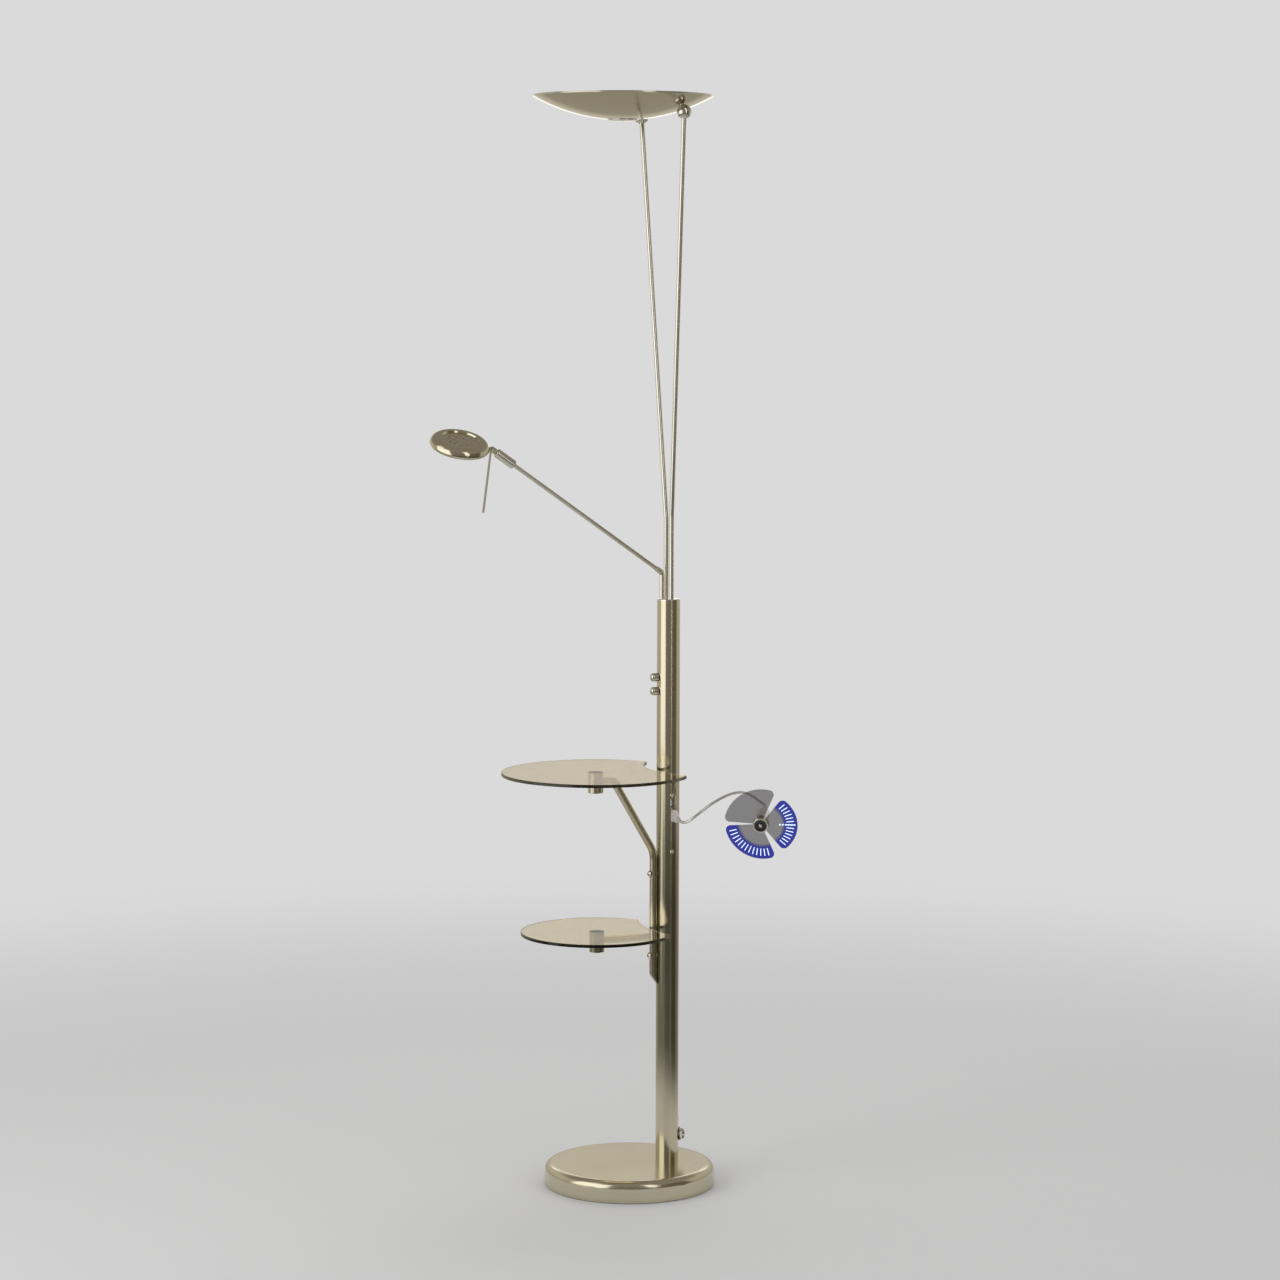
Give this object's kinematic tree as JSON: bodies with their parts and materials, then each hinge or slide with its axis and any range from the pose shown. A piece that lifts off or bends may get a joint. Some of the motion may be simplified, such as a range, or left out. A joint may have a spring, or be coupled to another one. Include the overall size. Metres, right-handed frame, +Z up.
{
  "type": "floor lamp with side table",
  "caption": "Uplighter floor lamp with a tilting dish, an adjustable reading arm, glass side tables on a bracket, dimmer knobs and a USB module with a gooseneck fan.",
  "frame": {"origin": "centre of the base's underside, on the floor", "axes": "+Z up along the pole; +X from the base's centre to the pole, away from the shelves; -Y is the side with the USB ports"},
  "size_m": [0.5809, 0.311, 1.8],
  "materials": {
    "satin_nickel": "satin nickel plate",
    "polished_nickel": "polished nickel plate",
    "zinc_steel": "zinc plated",
    "cast_iron": "as cast",
    "pad_rubber": "ribbed",
    "shelf_glass": "clear, ground edge",
    "lamp_glass": "clear",
    "lens_glass": "frosted",
    "ceramic": "unglazed",
    "tray_aluminium": "bright reflector",
    "black_plastic": "moulded",
    "grey_plastic": "moulded",
    "white_plastic": "moulded",
    "blade_plastic": "soft moulded",
    "light_plastic": "clear moulded",
    "wire_insulation": "sleeved"
  },
  "bodies": {
    "stand": {"base_cover": "satin_nickel", "base_weight": "cast_iron", "base_pad": "pad_rubber", "foot_bolt": "zinc_steel", "foot_plug": "zinc_steel", "pole": "satin_nickel", "pole_top_cap": "satin_nickel", "pole_wiring": "wire_insulation", "cable_gland": "polished_nickel", "gland_nuts": "polished_nickel", "earth_screw": "zinc_steel", "dimmer_modules": "black_plastic", "dimmer_nuts": "zinc_steel", "usb_module_case": "black_plastic", "usb_ports": "zinc_steel", "usb_screws": "polished_nickel", "upper_shelf_glass": "shelf_glass", "lower_shelf_glass": "shelf_glass", "shelf_bosses": "satin_nickel", "bracket_tube": "satin_nickel", "lower_arm_tube": "satin_nickel", "bracket_screws": "polished_nickel", "front_rod": "satin_nickel", "rear_rod": "satin_nickel", "rod_end_balls": "polished_nickel"},
    "upper_knob": {"upper_dimmer_knob": "satin_nickel"},
    "lower_knob": {"lower_dimmer_knob": "satin_nickel"},
    "dish": {"dish_shell": "satin_nickel", "dish_bottom_disc": "polished_nickel", "dish_centre_bolt": "zinc_steel", "clamp_left_halves": "polished_nickel", "clamp_right_halves": "polished_nickel", "clamp_nuts": "zinc_steel", "lamp_tray": "tray_aluminium", "lamp_sockets": "ceramic", "halogen_tube": "lamp_glass", "guard_glass": "lamp_glass"},
    "reading_arm": {"arm_stub": "satin_nickel", "arm_tube": "satin_nickel"},
    "sleeve": {"arm_sleeve": "satin_nickel", "head_fork": "satin_nickel", "fork_pin": "polished_nickel"},
    "reading_head": {"head_shell": "satin_nickel", "head_bezel": "satin_nickel", "head_lens": "lens_glass", "head_socket": "ceramic", "head_bulb": "lamp_glass", "head_lug": "satin_nickel", "handle_rod": "satin_nickel"},
    "fan_plug": {"usb_plug_grip": "white_plastic", "usb_plug_shell": "zinc_steel", "gooseneck_lower": "polished_nickel"},
    "fan_head": {"gooseneck_upper": "polished_nickel", "fan_housing": "satin_nickel", "fan_ring": "black_plastic", "fan_motor": "zinc_steel"},
    "fan_rotor": {"fan_hub": "polished_nickel", "fan_blades": "blade_plastic", "fan_lights": "light_plastic"}
  },
  "joints": [
    {"name": "dish_tilt", "type": "hinge", "parent": "stand", "child": "dish", "pos_m": [0.0534, 0, 1.77048], "axis": [0, 1, 0], "range_deg": [-35, 35]},
    {"name": "arm_swivel", "type": "hinge", "parent": "stand", "child": "reading_arm", "pos_m": [0.0555, 0, 0.96], "axis": [0, 0, 1], "range_deg": [-95, 95]},
    {"name": "sleeve_twist", "type": "hinge", "parent": "reading_arm", "child": "sleeve", "pos_m": [0.0555, 0, 1.0218], "axis": [-0.8181, 0, 0.575], "range_deg": [-64, 115]},
    {"name": "head_tilt", "type": "hinge", "parent": "sleeve", "child": "reading_head", "pos_m": [-0.23928, 0, 1.22897], "axis": [-0.2503, -0.9003, -0.3561], "range_deg": [-90, 15]},
    {"name": "upper_dimmer", "type": "hinge", "parent": "stand", "child": "upper_knob", "pos_m": [0.04, 0, 0.8488], "axis": [-1, 0, 0], "range_deg": [0, 270]},
    {"name": "lower_dimmer", "type": "hinge", "parent": "stand", "child": "lower_knob", "pos_m": [0.04, 0, 0.8259], "axis": [-1, 0, 0], "range_deg": [0, 270]},
    {"name": "usb_plug_slide", "type": "slide", "parent": "stand", "child": "fan_plug", "axis": [0, -1, 0], "range_m": [0, 0.014]},
    {"name": "gooseneck_bend", "type": "hinge", "parent": "fan_plug", "child": "fan_head", "pos_m": [0.1205, -0.077, 0.648], "axis": [-0.2524, 0.9676, 0], "range_deg": [-25, 25]},
    {"name": "fan_spin", "type": "hinge", "parent": "fan_head", "child": "fan_rotor", "pos_m": [0.1825, -0.122, 0.6107], "axis": [-0.4535, -0.8529, -0.2588], "continuous": true}
  ]
}
